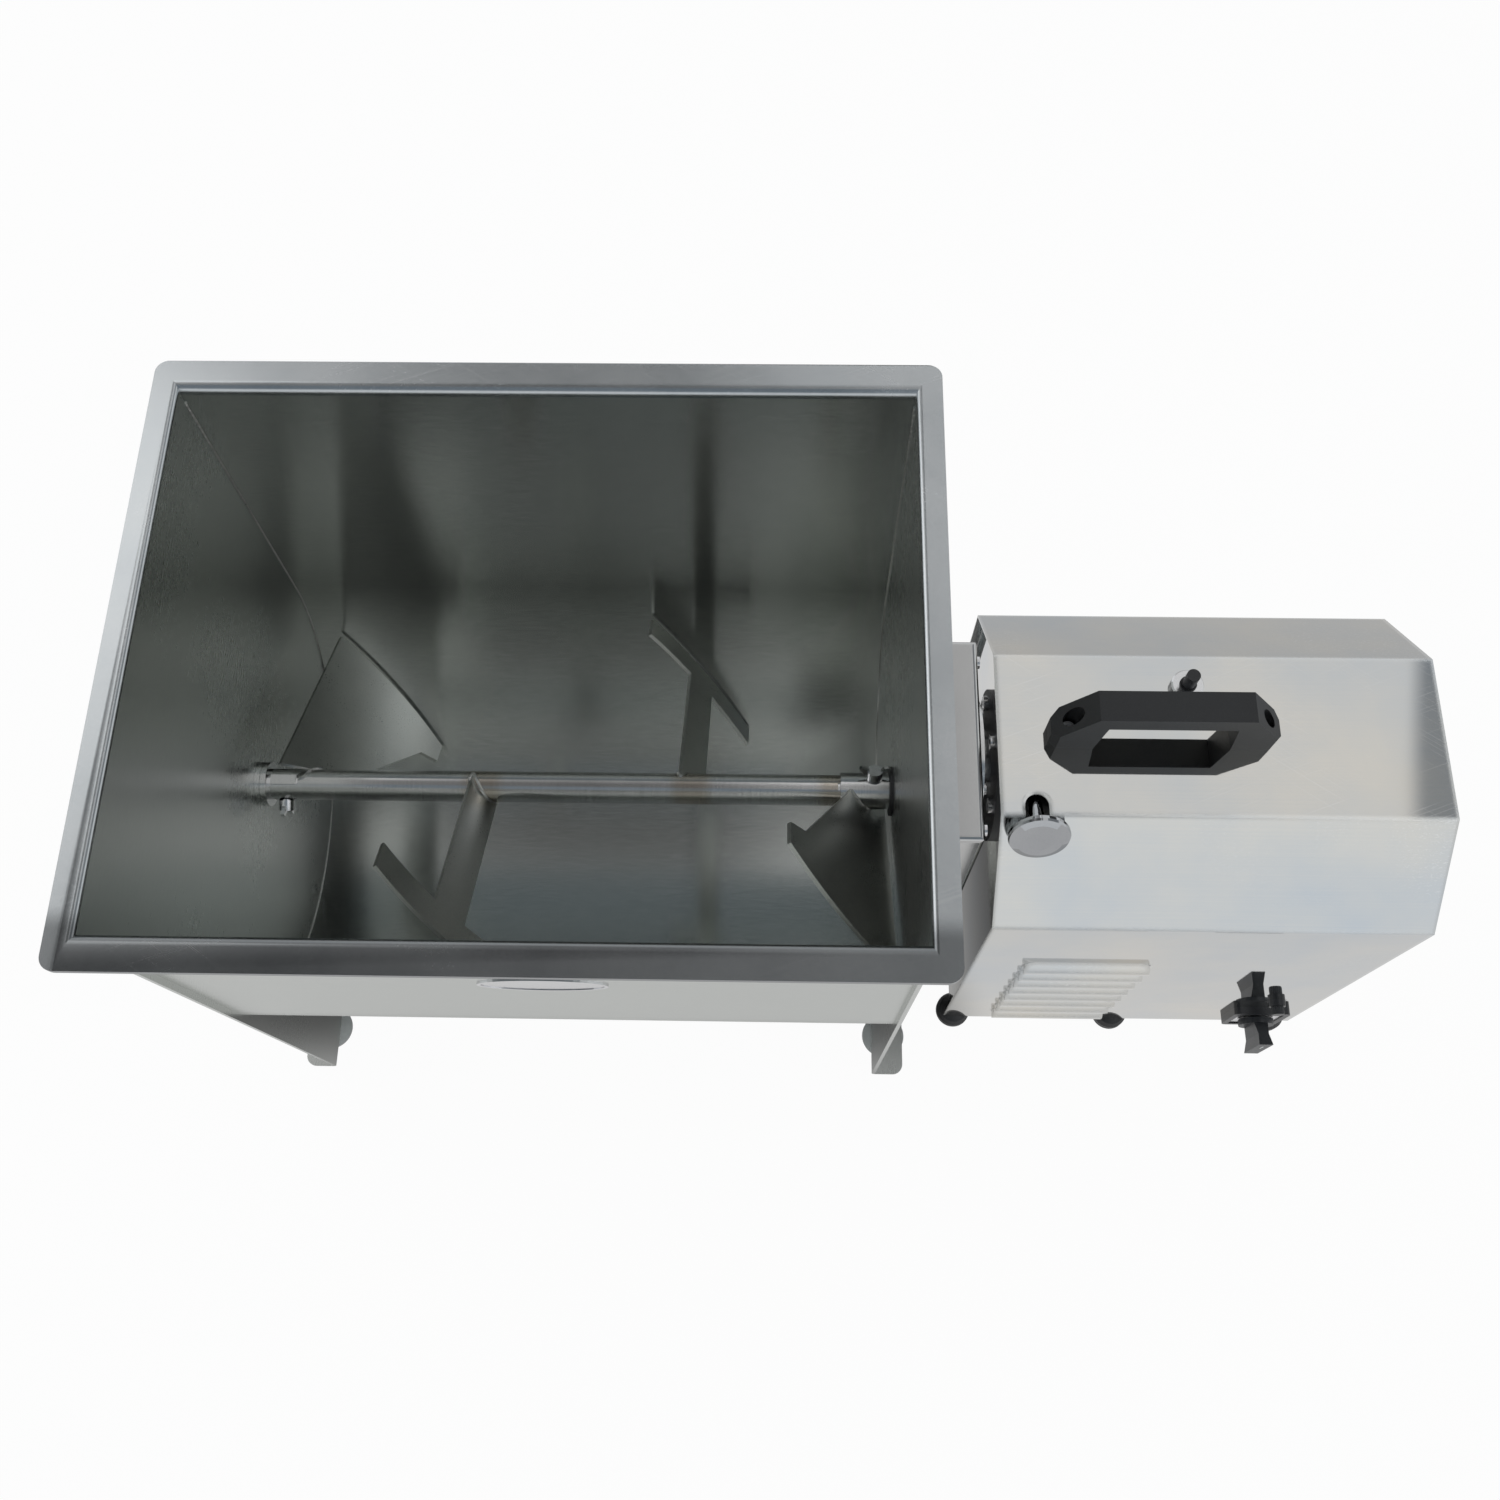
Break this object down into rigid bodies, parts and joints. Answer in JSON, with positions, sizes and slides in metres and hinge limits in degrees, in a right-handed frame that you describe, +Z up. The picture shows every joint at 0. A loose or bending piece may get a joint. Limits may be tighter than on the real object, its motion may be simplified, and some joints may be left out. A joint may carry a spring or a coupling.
{
  "type": "meat mixer",
  "caption": "Stainless mixing tank with tilted paddles on a cross shaft, gear driven by a polished motor box that docks onto its end by a neck and clamp screw.",
  "frame": {"origin": "on the floor, under the centre of the bounding box", "axes": "+X along the mixing shaft, from the tank to the motor box; +Y to the back; +Z up"},
  "size_m": [0.8924, 0.4108, 0.545],
  "materials": {
    "tank_sheet": "satin, brushed along the tank",
    "tank_plate": "satin",
    "rim_steel": "satin with a bright rolled edge",
    "badge_steel": "fine satin, bare",
    "cup_vinyl": "soft translucent vinyl",
    "bright_fittings": "bright",
    "bearing_bronze": "turned",
    "seal_rubber": "matte",
    "casting_iron": "painted dark grey",
    "cover_steel": "fine satin",
    "turned_steel": "turned, bright",
    "paddle_steel": "bright satin",
    "gear_steel": "machined, oiled",
    "box_steel": "polished stainless sheet",
    "inner_steel": "plain sheet",
    "foot_rubber": "matte black",
    "handle_plastic": "matte black",
    "switch_plastic": "semi-gloss black",
    "knob_plastic": "black with a pale pointer line",
    "switch_metal": "satin",
    "motor_alloy": "painted grey",
    "stator_iron": "laminated core with varnished windings",
    "knob_chrome": "polished"
  },
  "bodies": {
    "tank": {"trough": "tank_sheet", "rim_frame": "rim_steel", "left_end_plate": "tank_plate", "right_end_plate": "tank_plate", "badge_plate": "badge_steel", "suction_feet": "cup_vinyl", "foot_screws": "bright_fittings", "axle_boss": "tank_plate", "axle_bush": "bearing_bronze", "axle_cap": "tank_plate", "shaft_seal": "seal_rubber", "bearing_plate": "casting_iron", "drive_bush": "bearing_bronze", "gear_cover": "cover_steel", "cover_posts": "turned_steel", "cover_screws": "bright_fittings", "drive_neck": "turned_steel", "input_bushes": "bearing_bronze"},
    "mixer_rotor": {"stub_axle": "turned_steel", "paddle_shaft": "paddle_steel", "paddle_left_end": "paddle_steel", "paddle_front": "paddle_steel", "paddle_back": "paddle_steel", "paddle_right_end": "paddle_steel", "wing_bolt": "bright_fittings", "shaft_collar": "turned_steel", "drive_shaft": "turned_steel", "drive_wing_bolt": "bright_fittings", "mixer_gear": "gear_steel"},
    "input_drive": {"input_shaft": "turned_steel", "input_pinion": "gear_steel"},
    "motor_unit": {"housing_shell": "box_steel", "left_end_panel": "box_steel", "right_end_panel": "box_steel", "base_plate": "inner_steel", "rubber_feet": "foot_rubber", "handle": "handle_plastic", "handle_screws": "bright_fittings", "breaker_body": "switch_plastic", "breaker_nut": "bright_fittings", "switch_bezel": "switch_plastic", "switch_face": "switch_metal", "switch_body": "switch_plastic", "fuse_holder": "switch_plastic", "hub_housing": "casting_iron", "hub_bolts": "bright_fittings", "gearbox_case": "casting_iron", "motor_housing": "motor_alloy", "stator": "stator_iron", "motor_stand": "inner_steel", "cable_gland": "switch_plastic"},
    "clamp_plug": {"clamp_pad": "bearing_bronze"},
    "clamp_handle": {"clamp_screw": "bright_fittings", "clamp_knob": "knob_chrome"},
    "reset": {"reset_button": "switch_plastic"},
    "switch": {"switch_knob": "knob_plastic"},
    "output_drive": {"output_shaft": "turned_steel", "output_gear": "gear_steel"},
    "intermediate": {"intermediate_gear": "gear_steel"},
    "rotor": {"motor_rotor": "gear_steel"}
  },
  "joints": [
    {"name": "mixer_spin", "type": "hinge", "parent": "tank", "child": "mixer_rotor", "pos_m": [0, 0, 0.289], "axis": [1, 0, 0], "continuous": true},
    {"name": "input_spin", "type": "hinge", "parent": "tank", "child": "input_drive", "pos_m": [0, 0.004, 0.33683], "axis": [1, 0, 0], "continuous": true},
    {"name": "motor_undock", "type": "slide", "parent": "tank", "child": "motor_unit", "axis": [1, 0, 0], "range_m": [0, 0.1]},
    {"name": "output_spin", "type": "hinge", "parent": "motor_unit", "child": "output_drive", "pos_m": [0, 0.004, 0.33683], "axis": [1, 0, 0], "continuous": true},
    {"name": "intermediate_spin", "type": "hinge", "parent": "motor_unit", "child": "intermediate", "pos_m": [0, 0.004, 0.28183], "axis": [1, 0, 0], "continuous": true},
    {"name": "rotor_spin", "type": "hinge", "parent": "motor_unit", "child": "rotor", "pos_m": [0, 0.004, 0.24283], "axis": [1, 0, 0], "continuous": true},
    {"name": "clamp_slide", "type": "slide", "parent": "motor_unit", "child": "clamp_plug", "axis": [0, -0.9397, 0.342], "range_m": [0, 0.00375]},
    {"name": "clamp_turn", "type": "hinge", "parent": "clamp_plug", "child": "clamp_handle", "pos_m": [0.16025, 0.01578, 0.36919], "axis": [0, -0.9397, 0.342], "range_deg": [0, 1080]},
    {"name": "reset_press", "type": "slide", "parent": "motor_unit", "child": "reset", "axis": [0, 0, -1], "range_m": [0, 0.003], "stiffness_N_per_m": 300, "springref_m": -0.002},
    {"name": "switch_turn", "type": "hinge", "parent": "motor_unit", "child": "switch", "pos_m": [0.40625, -0.12, 0.056], "axis": [0, -1, 0], "range_deg": [-60, 60]}
  ],
  "couplings": [
    {"joint": "input_spin", "follows": "mixer_spin", "ratio": -3},
    {"joint": "output_spin", "follows": "mixer_spin", "ratio": -3},
    {"joint": "intermediate_spin", "follows": "mixer_spin", "ratio": 8},
    {"joint": "rotor_spin", "follows": "mixer_spin", "ratio": -24},
    {"joint": "clamp_turn", "follows": "clamp_slide", "rad_per_m": 5026.5}
  ]
}
